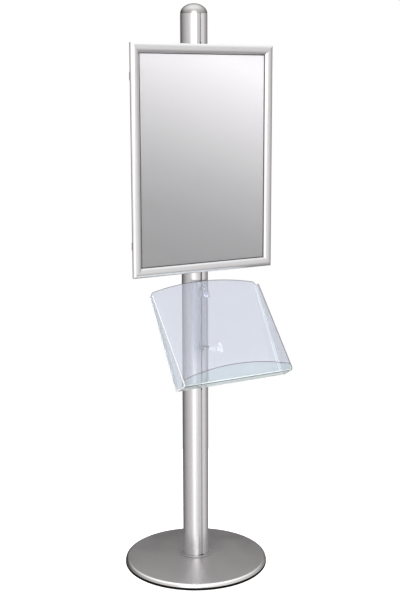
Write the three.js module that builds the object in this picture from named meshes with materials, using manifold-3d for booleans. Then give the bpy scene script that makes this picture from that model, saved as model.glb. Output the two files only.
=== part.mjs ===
// Free-standing sign stand: a round slotted post on a weighted disc base carries
// a portrait snap frame and, below it, a tilted clear literature tray.
// Millimetres, +Z up. The origin is on the floor, on the post's axis. The front faces -Y.
import * as THREE from 'three';
import { mergeVertices } from 'three/addons/utils/BufferGeometryUtils.js';
import Module from 'manifold-3d';

const wasm = await Module();
wasm.setup();

// ---------- driving dimensions ----------
const GAP = 0.3; // left between pieces that touch
const FINE = 0.01; // past a face, so that a cut goes cleanly through it

// base, from the floor up
const PAD_RADIUS = 303;
const PAD_THICKNESS = 4;
const PAD_LIP_HEIGHT = 9.5;
const PAD_LIP_INNER = 291;
const PLATE_RADIUS = 288;
const PLATE_THICKNESS = 8;
const COVER_RADIUS = 302;
const COVER_SHEET = 2;
const COVER_SHADOW_GAP = 0.9; // between the pad's lip and the cover's foot
const COVER_ROUND = 12; // radius of the rolled edge
const COVER_EDGE_TOP = 24;
const COVER_HUB_RADIUS = 58;
const COVER_HUB_TOP = 38.5;
const COLLAR_RADIUS = 70;
const COLLAR_BORE = 54.5;
const COLLAR_TOP = 41.5;
const COLLAR_CHAMFER = 1.5;
const FOOT_BOLTS = { count: 3, circle: 26, shank: 5, head: 8.5, headHeight: 4, length: 40 };
const SPIGOT_HEIGHT = 80;
const SET_SCREW = { z: 62, head: 5, headHeight: 2, shank: 3, length: 20 };

// post extrusion
const POST_RADIUS = 54;
const POST_WALL = 3;
const POST_TOP = 2293;
const FACET_HALF = 17; // half width of the flat strip on each slotted side
const SLOT_HALF = 2.75;
const SLOT_LIP = 3.25; // metal in front of the T channel
const CHANNEL_HALF = 9;
const CHANNEL_DEPTH = 9;
const CHANNEL_WALL = 2.5;
const CAP_HEIGHT = 40;
const CAP_WALL = 2.5;
const CAP_SEAT = { radius: 40, thickness: 4 };
const CAP_PLUG = { depth: 40, flange: 3 };
const STRIP_BOTTOM = 44; // the slot fillers stop above the collar
const STRIP_LOW_END = 772; // and leave the slot open where things are clamped
const STRIP_HIGH_START = 2182;
const STRIP = { recess: 0.6, wing: 5, thickness: 1 };
const SLOT_NUT = { clearance: 0.5, thickness: 5, half: 14 };
const SLOT_SCREW = { head: 4.5, shank: 2.4, hole: 2.7 };

// snap frame for a 600 x 850 sheet
const FRAME_WIDTH = 652;
const FRAME_HEIGHT = 902;
const FRAME_BOTTOM = 1273;
const FRAME_BACK = 70; // its back face, in front of the post's axis
const FRAME_DEPTH = 16;
const PROFILE_WIDTH = 37;
const PROFILE_SAG = 9; // height of the front profile's arc
const PROFILE_SHEET = 1.5;
const HINGE_DEPTH = 6; // hinge line of the front profiles, in front of the back face
const BACK_SHEET = 2;
const RIB_AT = 14.5;
const RIB_THICKNESS = 1.5;
const BACK_WALL = 2; // outer wall of the back profiles, under the hinge line
const PANEL_TOP = 3.9; // heights above the frame's back face
const POSTER_LEVEL = [4.2, 4.5];
const COVER_LEVEL = [4.8, 5.7];
const COVER_MARGIN = 3;
const POSTER_WIDTH = 600;
const POSTER_HEIGHT = 850;
const RAIL_HEIGHTS = [1400, 2050]; // crossbars behind the frame
const RAIL_BAR = { height: 30, thickness: 5 };
const RAIL_WEB = 2; // metal left behind a sunk screw head
const RAIL_SCREW = { inset: 8, head: 4, headHeight: 2.2, shank: 2, length: 7 };
const SPACER = { half: 22, overlap: 2 };
const CORNER_KEY = { leg: 45, from: 4, to: 13, thickness: 2 };
const SPRING = { half: 60, width: 7, thickness: 0.8, inset: 12 };

// literature tray
const TRAY_TILT = 30; // degrees from the vertical
const TRAY_FRONT = 81; // top line of the back sheet, in front of the post's axis
const TRAY_TOP = 1197;
const TRAY_LENGTH = 398;
const TRAY_HALF = 254;
const TRAY_SHEET = 4;
const TRAY_DEPTH = 74;
const TRAY_SIDE_TOP_DEPTH = 16;
const TRAY_BEND = 12; // outer radius of the folds
const TRAY_CROWN = { edge: 19, middle: 43, corner: 24 };
const TRAY_LIP = { edge: 27, middle: 60 };
const TRAY_SCREWS = [28, 7]; // up the back sheet from its top line
const TRAY_SCREW = { head: 4.5, headHeight: 2.5, shank: 2, length: 13 };
const WEDGE = { half: 17, below: 30, above: 36 };
const WEDGE_SCREW_Z = 1186;
const WEDGE_WEB = 10; // wedge left behind its sunk screw head
const ARM_Z = 946;
const ARM_PIN = { y: -180, z: 972, radius: 2.2, half: 9.5 };
const ARM_HALF = 6;
const ARM_END = -138;
const ARM_RISE = 21; // top of the arch above the arm's middle
const ARM_BAR = 5;
const FORK_HALF = 8;
const FOOT_PAD = { half: 7, reach: 21, thickness: 4 };
const FOOT_LUG = { half: 2.5, radius: 5.5 };

const FACET = Math.sqrt(POST_RADIUS ** 2 - FACET_HALF ** 2); // flat strip, from the axis
const LIP_BACK = FACET - SLOT_LIP;
const CHANNEL_FLOOR = LIP_BACK - CHANNEL_DEPTH;
const PLATE_BOTTOM = PAD_THICKNESS + GAP;
const POST_FOOT = PLATE_BOTTOM + PLATE_THICKNESS + GAP;

// ---------- materials ----------
const paint = (color, roughness, metalness, opacity = 1) => new THREE.MeshStandardMaterial({
  color, roughness, metalness, opacity, transparent: opacity < 1,
});
const SILVER = paint(0xc9cbce, 0.35, 0.9);
const BASE_GREY = paint(0xb4b5b8, 0.5, 0.7);
const STEEL = paint(0x8d9094, 0.45, 0.9);
const ZINC = paint(0xb9bcc0, 0.35, 0.95);
const BRASS = paint(0xc2a14d, 0.35, 0.9);
const RUBBER = paint(0x1b1b1d, 0.85, 0);
const FILLER = paint(0x9c9da0, 0.6, 0);
const BLACK = paint(0x2b2c2f, 0.5, 0);
const WHITE = paint(0xf1f2f2, 0.4, 0);
const BACKING = paint(0xd9dadb, 0.7, 0);
const PAPER = paint(0xc6c6c9, 0.6, 0);
const CLEAR = paint(0xdfe7f2, 0.1, 0, 0.35);

// ---------- solid helpers ----------
const toSolid = (geometry) => {
  const bare = geometry.clone();
  bare.deleteAttribute('normal');
  bare.deleteAttribute('uv');
  const merged = mergeVertices(bare, 1e-4);
  return new wasm.Manifold(new wasm.Mesh({
    numProp: 3,
    vertProperties: new Float32Array(merged.attributes.position.array),
    triVerts: new Uint32Array(merged.index.array),
  }));
};

const toGeometry = (solid) => {
  const mesh = solid.getMesh();
  const geometry = new THREE.BufferGeometry();
  geometry.setAttribute('position', new THREE.BufferAttribute(new Float32Array(mesh.vertProperties), 3));
  geometry.setIndex(new THREE.BufferAttribute(new Uint32Array(mesh.triVerts), 1));
  geometry.computeVertexNormals();
  return geometry;
};

const cut = (body, ...tools) => toGeometry(
  tools.reduce((solid, tool) => solid.subtract(toSolid(tool)), toSolid(body)),
);
const join = (body, ...others) => toGeometry(
  others.reduce((solid, other) => solid.add(toSolid(other)), toSolid(body)),
);

const piece = (group, name, geometry, material) => {
  const mesh = new THREE.Mesh(geometry, material);
  mesh.name = name;
  group.add(mesh);
  return mesh;
};

const outline = (points) => new THREE.Shape(points.map(([x, y]) => new THREE.Vector2(x, y)));

// points on an arc, ends included, angles in degrees
const arc = (cx, cy, radius, from, to, steps) => Array.from({ length: steps + 1 }, (_, i) => {
  const angle = THREE.MathUtils.degToRad(from + (to - from) * i / steps);
  return [cx + radius * Math.cos(angle), cy + radius * Math.sin(angle)];
});

// points on the circle through (-half, edge), (0, middle) and (half, edge), left to right
const bow = (half, edge, middle, steps) => {
  const rise = middle - edge;
  const radius = (half ** 2 + rise ** 2) / (2 * rise);
  const sweep = THREE.MathUtils.radToDeg(Math.asin(half / radius));
  return arc(0, middle - radius, radius, 90 + sweep, 90 - sweep, steps);
};

// shape in XY pushed up along Z
const prism = (shape, depth) => new THREE.ExtrudeGeometry(shape, { depth, bevelEnabled: false });

// shape given as (y, z) points, pushed along X and centred on x = 0
const prismX = (points, width) => {
  const geometry = prism(outline(points), width);
  geometry.applyMatrix4(new THREE.Matrix4().makeBasis(
    new THREE.Vector3(0, 1, 0), new THREE.Vector3(0, 0, 1), new THREE.Vector3(1, 0, 0),
  ));
  return geometry.translate(-width / 2, 0, 0);
};

// a lathe profile is given as (radius, height) points, from the bottom up its outside
const turn = (points, segments) => {
  const profile = points.map(([r, z]) => new THREE.Vector2(r, z));
  return new THREE.LatheGeometry(profile, segments).rotateX(Math.PI / 2);
};

// cylinder along Z from one height to another
const rod = (radius, from, to, segments = 16) => new THREE.CylinderGeometry(
  radius, radius, to - from, segments,
).rotateX(Math.PI / 2).translate(0, 0, (from + to) / 2);

const box = (x, y, z) => new THREE.BoxGeometry(
  x[1] - x[0], y[1] - y[0], z[1] - z[0],
).translate((x[0] + x[1]) / 2, (y[0] + y[1]) / 2, (z[0] + z[1]) / 2);

// screw along Z: the head stands on z = 0 and the shank goes down
const screw = (head, headHeight, shank, length) => turn(
  [[0, -length], [shank, -length], [shank, 0], [head, 0], [head, headHeight * 0.6],
    [head * 0.75, headHeight], [0, headHeight]], 16,
);

// turns a piece made along +Z so that its head points to the front, -Y
const faceFront = (geometry) => geometry.rotateX(Math.PI / 2);

// ---------- base ----------
const buildBase = () => {
  const base = new THREE.Group();
  const boltPlaces = Array.from({ length: FOOT_BOLTS.count }, (_, i) => {
    const angle = (i + 0.25) * 2 * Math.PI / FOOT_BOLTS.count;
    return [FOOT_BOLTS.circle * Math.cos(angle), FOOT_BOLTS.circle * Math.sin(angle)];
  });
  const atBolts = (make) => boltPlaces.map(([x, y]) => make().translate(x, y, 0));
  const plateTop = PLATE_BOTTOM + PLATE_THICKNESS;
  const seat = PLATE_BOTTOM + FOOT_BOLTS.headHeight + GAP; // bolt heads are sunk in the plate

  piece(base, 'base_pad', turn([
    [0, 0], [PAD_RADIUS, 0], [PAD_RADIUS, PAD_LIP_HEIGHT], [PAD_LIP_INNER, PAD_LIP_HEIGHT],
    [PAD_LIP_INNER, PAD_THICKNESS], [0, PAD_THICKNESS],
  ], 72), RUBBER);

  piece(base, 'base_plate', cut(
    rod(PLATE_RADIUS, PLATE_BOTTOM, plateTop, 72),
    ...atBolts(() => rod(FOOT_BOLTS.shank + GAP, 0, plateTop + 1)),
    ...atBolts(() => rod(FOOT_BOLTS.head + GAP, 0, seat)),
  ), STEEL);

  const edgeTop = arc(COVER_RADIUS - COVER_ROUND, COVER_EDGE_TOP - COVER_ROUND, COVER_ROUND, 0, 86, 4);
  const edgeUnder = arc(
    COVER_RADIUS - COVER_ROUND, COVER_EDGE_TOP - COVER_ROUND, COVER_ROUND - COVER_SHEET, 86, 0, 4,
  );
  const coverFoot = PAD_LIP_HEIGHT + COVER_SHADOW_GAP;
  piece(base, 'base_cover', turn([
    [COVER_RADIUS - COVER_SHEET, coverFoot], [COVER_RADIUS, coverFoot], ...edgeTop,
    [COVER_HUB_RADIUS, COVER_HUB_TOP], [COVER_HUB_RADIUS, COVER_HUB_TOP - COVER_SHEET], ...edgeUnder,
    [COVER_RADIUS - COVER_SHEET, coverFoot],
  ], 72), BASE_GREY);

  const slope = (COVER_HUB_TOP - COVER_EDGE_TOP) / (COVER_RADIUS - COVER_ROUND - COVER_HUB_RADIUS);
  const onCover = (r) => COVER_HUB_TOP + GAP - (r - COVER_HUB_RADIUS) * slope;
  piece(base, 'base_collar', turn([
    [COLLAR_BORE, onCover(COVER_HUB_RADIUS)], [COVER_HUB_RADIUS, onCover(COVER_HUB_RADIUS)],
    [COLLAR_RADIUS, onCover(COLLAR_RADIUS)], [COLLAR_RADIUS, COLLAR_TOP - COLLAR_CHAMFER],
    [COLLAR_RADIUS - COLLAR_CHAMFER, COLLAR_TOP], [COLLAR_BORE, COLLAR_TOP],
    [COLLAR_BORE, onCover(COVER_HUB_RADIUS)],
  ], 64), BASE_GREY);

  const bolt = () => screw(
    FOOT_BOLTS.head, FOOT_BOLTS.headHeight - GAP, FOOT_BOLTS.shank, FOOT_BOLTS.length,
  ).rotateX(Math.PI).translate(0, 0, seat - GAP);
  atBolts(bolt).forEach((geometry, i) => piece(base, `foot_bolt_${i + 1}`, geometry, ZINC));

  const spigot = prism(outline(cavity(GAP)), SPIGOT_HEIGHT).translate(0, 0, POST_FOOT);
  piece(base, 'post_spigot', cut(
    spigot,
    ...atBolts(() => rod(FOOT_BOLTS.shank + GAP, 0, seat + FOOT_BOLTS.length + 1)),
    setScrewHole(),
  ), STEEL);
  return base;
};

// inside of the post, shrunk by a clearance: a circle with a notch for each T channel
const cavity = (clearance) => {
  const radius = POST_RADIUS - POST_WALL - clearance;
  const wall = CHANNEL_HALF + CHANNEL_WALL + clearance;
  const notch = CHANNEL_FLOOR - CHANNEL_WALL - clearance;
  const flat = LIP_BACK - clearance;
  const end = THREE.MathUtils.radToDeg(Math.asin(flat / radius));
  return [
    [wall, -notch], [wall, -flat], ...arc(0, 0, radius, -end, end, 20),
    [wall, flat], [wall, notch], [-wall, notch], [-wall, flat],
    ...arc(0, 0, radius, 180 - end, 180 + end, 20), [-wall, -flat], [-wall, -notch],
  ];
};

// the set screw that holds the post on its spigot goes in beside the rear slot
const atSetScrew = (geometry) => geometry
  .rotateY(Math.PI / 2)
  .translate(POST_RADIUS, 0, SET_SCREW.z)
  .rotateZ(Math.PI / 4);
const setScrewHole = () => atSetScrew(rod(SET_SCREW.shank + GAP, -SET_SCREW.length - 2, 10));

// ---------- post ----------
const buildPost = () => {
  const post = new THREE.Group();
  const facetEnd = THREE.MathUtils.radToDeg(Math.acos(FACET_HALF / POST_RADIUS));
  // the slot as seen from outside, from its +x edge to its -x edge, on the +Y side
  const slot = [
    [SLOT_HALF, FACET], [SLOT_HALF, LIP_BACK], [CHANNEL_HALF, LIP_BACK], [CHANNEL_HALF, CHANNEL_FLOOR],
    [-CHANNEL_HALF, CHANNEL_FLOOR], [-CHANNEL_HALF, LIP_BACK], [-SLOT_HALF, LIP_BACK], [-SLOT_HALF, FACET],
  ];
  const section = outline([
    ...arc(0, 0, POST_RADIUS, -facetEnd, facetEnd, 24), ...slot,
    ...arc(0, 0, POST_RADIUS, 180 - facetEnd, 180 + facetEnd, 24), ...slot.map(([x, y]) => [-x, -y]),
  ]);
  section.holes.push(new THREE.Path(cavity(0).map(([x, y]) => new THREE.Vector2(x, y))));
  piece(post, 'post_tube', cut(
    prism(section, POST_TOP - POST_FOOT).translate(0, 0, POST_FOOT),
    setScrewHole(),
  ), SILVER);
  piece(post, 'post_set_screw', atSetScrew(screw(
    SET_SCREW.head, SET_SCREW.headHeight, SET_SCREW.shank, SET_SCREW.length,
  ).translate(0, 0, GAP)), ZINC);

  // a strip that shows in the slot, with wings behind the slot's lips
  const stripFront = -(FACET - STRIP.recess);
  const wingFront = -(LIP_BACK - GAP);
  const wingBack = wingFront + STRIP.thickness;
  const stripHalf = SLOT_HALF - GAP;
  const filler = (from, to) => prism(outline([
    [STRIP.wing, wingBack], [STRIP.wing, wingFront], [stripHalf, wingFront], [stripHalf, stripFront],
    [-stripHalf, stripFront], [-stripHalf, wingFront], [-STRIP.wing, wingFront], [-STRIP.wing, wingBack],
  ]), to - from).translate(0, 0, from);
  piece(post, 'slot_filler_lower', filler(STRIP_BOTTOM, STRIP_LOW_END), FILLER);
  piece(post, 'slot_filler_upper', filler(STRIP_HIGH_START, POST_TOP - 1), FILLER);
  piece(post, 'slot_filler_rear', filler(STRIP_BOTTOM, POST_TOP - 1).rotateZ(Math.PI), FILLER);

  const capFoot = POST_TOP + GAP;
  const plug = prism(outline(cavity(GAP)), CAP_PLUG.depth).translate(0, 0, capFoot - CAP_PLUG.depth);
  const flange = rod(CAP_SEAT.radius - 1, capFoot - FINE, capFoot + CAP_PLUG.flange, 48);
  piece(post, 'cap_insert', join(plug, flange), BLACK);
  // half an ellipse for the outside of the dome, a smaller one for its inside, and a flat ring as its seat
  const dome = (inset, from, to) => arc(0, 0, 1, from, to, 7).map(([r, z]) => [
    Math.max(0, r) * (POST_RADIUS - inset), z * (CAP_HEIGHT - inset) + capFoot,
  ]);
  const seatAngle = Math.asin(CAP_SEAT.thickness / (CAP_HEIGHT - CAP_WALL)) * 180 / Math.PI;
  const seat = [[CAP_SEAT.radius, capFoot + CAP_SEAT.thickness], [CAP_SEAT.radius, capFoot]];
  piece(post, 'post_cap', turn([
    ...dome(0, 0, 90), ...dome(CAP_WALL, 90, seatAngle), ...seat, dome(0, 0, 90)[0],
  ], 40), SILVER);
  return post;
};

// a nut that slides in the T channel, on the front side, with its thread along Y
const NUT_HALF = CHANNEL_HALF - SLOT_NUT.clearance;
const slotNut = (z) => cut(
  box(
    [-NUT_HALF, NUT_HALF], [GAP - LIP_BACK, GAP - LIP_BACK + SLOT_NUT.thickness],
    [z - SLOT_NUT.half, z + SLOT_NUT.half],
  ),
  faceFront(rod(SLOT_SCREW.hole, 0, POST_RADIUS)).translate(0, 0, z),
);
const slotScrew = (y, z, headHeight) => faceFront(
  screw(SLOT_SCREW.head, headHeight, SLOT_SCREW.shank, -y - CHANNEL_FLOOR - 2),
).translate(0, y, z);

// ---------- snap frame ----------
// Inside the frame group x is right, y is up from the frame's centre, z is forward from its back.
const SIDES = ['bottom', 'right', 'top', 'left'];

// A section in (inwards, forwards) is run along one side, with a mitre at both ends.
const mitred = (section, side) => {
  const length = side % 2 ? FRAME_HEIGHT : FRAME_WIDTH;
  const other = side % 2 ? FRAME_WIDTH : FRAME_HEIGHT;
  const geometry = prism(outline(section), length);
  const position = geometry.attributes.position;
  const mitreGap = GAP * 0.75;
  for (let i = 0; i < position.count; i += 1) {
    const inwards = position.getX(i) + mitreGap;
    position.setZ(i, position.getZ(i) < length / 2 ? inwards : length - inwards);
  }
  geometry.applyMatrix4(new THREE.Matrix4().makeBasis(
    new THREE.Vector3(0, 1, 0), new THREE.Vector3(0, 0, 1), new THREE.Vector3(1, 0, 0),
  ));
  return geometry.translate(-length / 2, -other / 2, 0).rotateZ(side * Math.PI / 2);
};

const buildFrame = () => {
  const frame = new THREE.Group();
  frame.position.set(0, -FRAME_BACK, FRAME_BOTTOM + FRAME_HEIGHT / 2);
  frame.rotation.x = Math.PI / 2;

  const arcEdge = FRAME_DEPTH - PROFILE_SAG;
  const half = PROFILE_WIDTH / 2;
  const shift = (points) => points.map(([u, v]) => [u + half, v]);
  const snapSection = [
    [0, HINGE_DEPTH], [PROFILE_SHEET, HINGE_DEPTH],
    ...shift(bow(half - PROFILE_SHEET, arcEdge, FRAME_DEPTH - PROFILE_SHEET, 8)),
    [PROFILE_WIDTH - PROFILE_SHEET, HINGE_DEPTH], [PROFILE_WIDTH, HINGE_DEPTH],
    ...shift(bow(half, arcEdge, FRAME_DEPTH, 10)).reverse(),
  ];
  const railPlaces = RAIL_HEIGHTS.map((z) => z - FRAME_BOTTOM - FRAME_HEIGHT / 2);
  const railScrewX = FRAME_WIDTH / 2 - RAIL_SCREW.inset;
  const wallFrom = 0.5; // the back profile is set in a little under its front one
  const wallTo = wallFrom + BACK_WALL;
  const ribTo = RIB_AT + RIB_THICKNESS;
  const ribTop = HINGE_DEPTH - 0.5;
  const backSection = [
    [wallFrom, 0], [PROFILE_WIDTH - 1, 0], [PROFILE_WIDTH - 1, BACK_SHEET], [ribTo, BACK_SHEET],
    [ribTo, ribTop], [RIB_AT, ribTop], [RIB_AT, BACK_SHEET],
    [wallTo, BACK_SHEET], [wallTo, HINGE_DEPTH - GAP], [wallFrom, HINGE_DEPTH - GAP],
  ];
  const railHoles = railPlaces.flatMap((y) => [-railScrewX, railScrewX].map(
    (x) => rod(RAIL_SCREW.shank + GAP, -10, 5).translate(x, y, 0),
  ));
  SIDES.forEach((name, side) => {
    const back = mitred(backSection, side);
    piece(frame, `frame_back_${name}`, side % 2 ? cut(back, ...railHoles) : back, SILVER);
    piece(frame, `frame_snap_${name}`, mitred(snapSection, side), SILVER);
  });

  // an angle key in each corner, between the outer wall and the rib
  const corners = [[-1, -1, 0], [1, -1, 1], [1, 1, 2], [-1, 1, 3]];
  const { leg, from: keyFrom, to: keyTo } = CORNER_KEY;
  const key = () => prism(outline([
    [keyFrom, keyFrom], [leg, keyFrom], [leg, keyTo], [keyTo, keyTo], [keyTo, leg], [keyFrom, leg],
  ]), CORNER_KEY.thickness).translate(0, 0, BACK_SHEET + GAP);
  corners.forEach(([sx, sy, turns], i) => piece(frame, `frame_corner_key_${i + 1}`, key()
    .rotateZ(turns * Math.PI / 2)
    .translate(sx * FRAME_WIDTH / 2, sy * FRAME_HEIGHT / 2, 0), ZINC));

  // a bowed leaf spring along the middle of each side holds its front profile shut
  const leafFoot = BACK_SHEET + GAP;
  const leaf = () => prism(outline([
    ...bow(SPRING.half, leafFoot + SPRING.thickness, ribTop, 8),
    ...bow(SPRING.half, leafFoot, ribTop - SPRING.thickness, 8).reverse(),
  ]), SPRING.width);
  SIDES.forEach((name, side) => {
    const across = side % 2 ? FRAME_WIDTH : FRAME_HEIGHT;
    piece(frame, `frame_spring_${name}`, leaf()
      .rotateX(Math.PI / 2)
      .translate(0, SPRING.inset - across / 2, 0)
      .rotateZ(side * Math.PI / 2), ZINC);
  });

  const sheet = (width, height, from, to) => box(
    [-width / 2, width / 2], [-height / 2, height / 2], [from, to],
  );
  const panelInset = 2 * (ribTo + GAP);
  piece(frame, 'frame_back_panel', sheet(
    FRAME_WIDTH - panelInset, FRAME_HEIGHT - panelInset, BACK_SHEET + GAP, PANEL_TOP,
  ), BACKING);
  piece(frame, 'poster', sheet(POSTER_WIDTH, POSTER_HEIGHT, ...POSTER_LEVEL), PAPER);
  piece(frame, 'cover_sheet', sheet(
    POSTER_WIDTH + 2 * COVER_MARGIN, POSTER_HEIGHT + 2 * COVER_MARGIN, ...COVER_LEVEL,
  ), CLEAR);

  // crossbars, each with a spacer block that reaches back to the post
  const railBack = -GAP - RAIL_BAR.thickness;
  const postFace = FACET + GAP - FRAME_BACK; // the post's flat strip, seen from the frame's back
  const railScrew = () => screw(
    RAIL_SCREW.head, RAIL_SCREW.headHeight, RAIL_SCREW.shank, RAIL_SCREW.length,
  );
  RAIL_HEIGHTS.forEach((z, i) => {
    const level = ['lower', 'upper'][i];
    const y = railPlaces[i];
    const edge = RAIL_BAR.height / 2;
    const screwHole = () => rod(SLOT_SCREW.hole, -FRAME_BACK, 10).translate(0, y, 0);
    piece(frame, `frame_rail_${level}`, cut(
      box([1 - FRAME_WIDTH / 2, FRAME_WIDTH / 2 - 1], [y - edge, y + edge], [railBack, -GAP]),
      ...railHoles, screwHole(), rod(SLOT_SCREW.head + 0.5, railBack + RAIL_WEB, 10).translate(0, y, 0),
    ), SILVER);
    piece(frame, `frame_spacer_${level}`, cut(
      box(
        [-SPACER.half, SPACER.half], [y - edge - SPACER.overlap, y + edge + SPACER.overlap],
        [postFace, railBack - GAP],
      ),
      screwHole(),
    ), BLACK);
    [-1, 1].forEach((sign) => piece(
      frame, `frame_rail_screw_${level}_${sign < 0 ? 'left' : 'right'}`,
      railScrew().rotateX(Math.PI).translate(sign * railScrewX, y, railBack - GAP), ZINC,
    ));
  });
  return frame;
};

// long screws and sliding nuts that clamp the crossbars to the post's front slot
const buildFrameClamps = () => {
  const clamps = new THREE.Group();
  const seat = -(FRAME_BACK - GAP - RAIL_BAR.thickness + RAIL_WEB);
  RAIL_HEIGHTS.forEach((z, i) => {
    const level = ['lower', 'upper'][i];
    piece(clamps, `frame_slot_screw_${level}`, slotScrew(seat - GAP, z, 2.5), ZINC);
    piece(clamps, `frame_slot_nut_${level}`, slotNut(z), ZINC);
  });
  return clamps;
};

// ---------- literature tray ----------
const tilt = THREE.MathUtils.degToRad(TRAY_TILT);

// Inside the tilted group x is right, y is up the back sheet from its top line, z is out of its front.
const tiltedGroup = () => {
  const group = new THREE.Group();
  group.position.set(0, -TRAY_FRONT, TRAY_TOP);
  group.rotation.x = Math.PI / 2 - tilt;
  group.updateMatrix();
  return group;
};

// (y, z) in the object's frame of a point up the back sheet and behind its front face
const behindSheet = (up, behind) => [
  up * Math.sin(tilt) + behind * Math.cos(tilt) - TRAY_FRONT,
  up * Math.cos(tilt) - behind * Math.sin(tilt) + TRAY_TOP,
];

const buildTraySheets = () => {
  const tray = tiltedGroup();
  const half = TRAY_HALF - TRAY_SHEET - GAP;
  const foot = -TRAY_LENGTH;
  const foldAt = foot + TRAY_BEND;
  const { edge, middle, corner } = TRAY_CROWN;

  const back = prism(outline([
    [half, foldAt - FINE], ...arc(half - corner, edge - corner, corner, 0, 90, 5),
    ...bow(half - corner, edge, middle, 14).reverse().slice(1, -1),
    ...arc(corner - half, edge - corner, corner, 90, 180, 5), [-half, foldAt - FINE],
  ]), TRAY_SHEET).translate(0, 0, -TRAY_SHEET);
  const lip = prism(outline([
    [half, foldAt - FINE], ...bow(half, foot + TRAY_LIP.edge, foot + TRAY_LIP.middle, 16).reverse(),
    [-half, foldAt - FINE],
  ]), TRAY_SHEET).translate(0, 0, TRAY_DEPTH - TRAY_SHEET);
  const inner = TRAY_BEND - TRAY_SHEET;
  const fold = prismX([
    ...arc(foldAt, TRAY_BEND - TRAY_SHEET, TRAY_BEND, -90, -180, 5),
    ...arc(foldAt, TRAY_DEPTH - TRAY_BEND, TRAY_BEND, -180, -270, 5),
    ...arc(foldAt, TRAY_DEPTH - TRAY_BEND, inner, -270, -180, 5),
    ...arc(foldAt, TRAY_BEND - TRAY_SHEET, inner, -180, -90, 5),
  ], 2 * half);
  piece(tray, 'tray_sheet', cut(
    join(back, fold, lip),
    ...TRAY_SCREWS.map((up) => rod(TRAY_SCREW.shank + GAP, -10, 10).translate(0, up, 0)),
  ), CLEAR);

  // a wedge-shaped cheek closes each end
  const cheek = () => prismX([
    [0, -TRAY_SHEET], ...arc(foldAt, TRAY_BEND - TRAY_SHEET, TRAY_BEND, -90, -180, 5),
    ...arc(foldAt, TRAY_DEPTH - TRAY_BEND, TRAY_BEND, -180, -270, 5),
    [-8, TRAY_SIDE_TOP_DEPTH], [-3, TRAY_SIDE_TOP_DEPTH - 2], [0, TRAY_SIDE_TOP_DEPTH - 7],
  ], TRAY_SHEET);
  const cheekX = TRAY_HALF - TRAY_SHEET / 2;
  piece(tray, 'tray_side_left', cheek(), CLEAR).position.x = -cheekX;
  piece(tray, 'tray_side_right', cheek(), CLEAR).position.x = cheekX;

  TRAY_SCREWS.forEach((up, i) => piece(
    tray, `tray_screw_${['upper', 'lower'][i]}`, screw(
      TRAY_SCREW.head, TRAY_SCREW.headHeight, TRAY_SCREW.shank, TRAY_SCREW.length,
    ).translate(0, up, GAP), ZINC,
  ));

  // foot of the support arm: a pad flat against the sheet's back, with a lug to the pin
  const [pinUp, pinOut] = onSheet(ARM_PIN.y, ARM_PIN.z);
  const atPin = (geometry) => geometry.rotateY(Math.PI / 2).translate(0, pinUp, pinOut);
  const padFront = -(TRAY_SHEET + GAP);
  const padBack = padFront - FOOT_PAD.thickness;
  const { half: lugHalf, radius: lugRadius } = FOOT_LUG;
  const pad = box(
    [-FOOT_PAD.half, FOOT_PAD.half], [pinUp - FOOT_PAD.reach, pinUp + FOOT_PAD.reach], [padBack, padFront],
  );
  const lug = box([-lugHalf, lugHalf], [pinUp - lugRadius, pinUp + lugRadius], [pinOut, padBack + FINE]);
  piece(tray, 'tray_arm_foot', cut(
    join(pad, lug, atPin(rod(lugRadius, -lugHalf, lugHalf, 20))),
    atPin(rod(ARM_PIN.radius + GAP, -ARM_PIN.half, ARM_PIN.half)),
  ), WHITE);
  return tray;
};

// the same point, from the object's (y, z) to the tilted group's (y, z)
const onSheet = (y, z) => {
  const ahead = y + TRAY_FRONT;
  const above = z - TRAY_TOP;
  return [
    ahead * Math.sin(tilt) + above * Math.cos(tilt),
    above * Math.sin(tilt) - ahead * Math.cos(tilt),
  ];
};

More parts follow.
